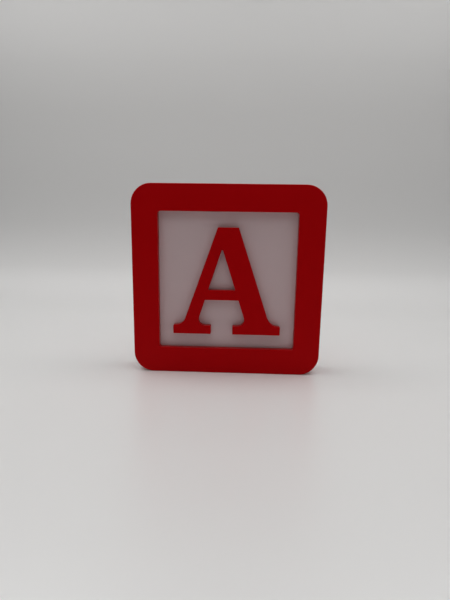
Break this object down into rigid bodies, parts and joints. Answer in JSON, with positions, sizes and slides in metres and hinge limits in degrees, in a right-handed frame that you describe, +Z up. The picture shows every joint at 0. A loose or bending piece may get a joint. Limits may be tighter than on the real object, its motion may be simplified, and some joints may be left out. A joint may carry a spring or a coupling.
{
  "type": "letter block",
  "caption": "Upright rounded-square letter block: red frame, white panel set back in its window, raised slab-serif capital, closed back.",
  "frame": {"origin": "middle of the bottom face, on the surface that the block stands on", "axes": "the lettered face looks along -Y, +X is to the right seen from the front, +Z is up"},
  "size_m": [0.1, 0.015, 0.1],
  "materials": {
    "frame_red": "satin moulded",
    "panel_white": "satin moulded",
    "letter_red": "satin moulded",
    "cover_red": "satin moulded"
  },
  "bodies": {
    "root": {"frame": "frame_red", "panel": "panel_white", "raised_letter": "letter_red", "back_cover": "cover_red"}
  },
  "joints": []
}
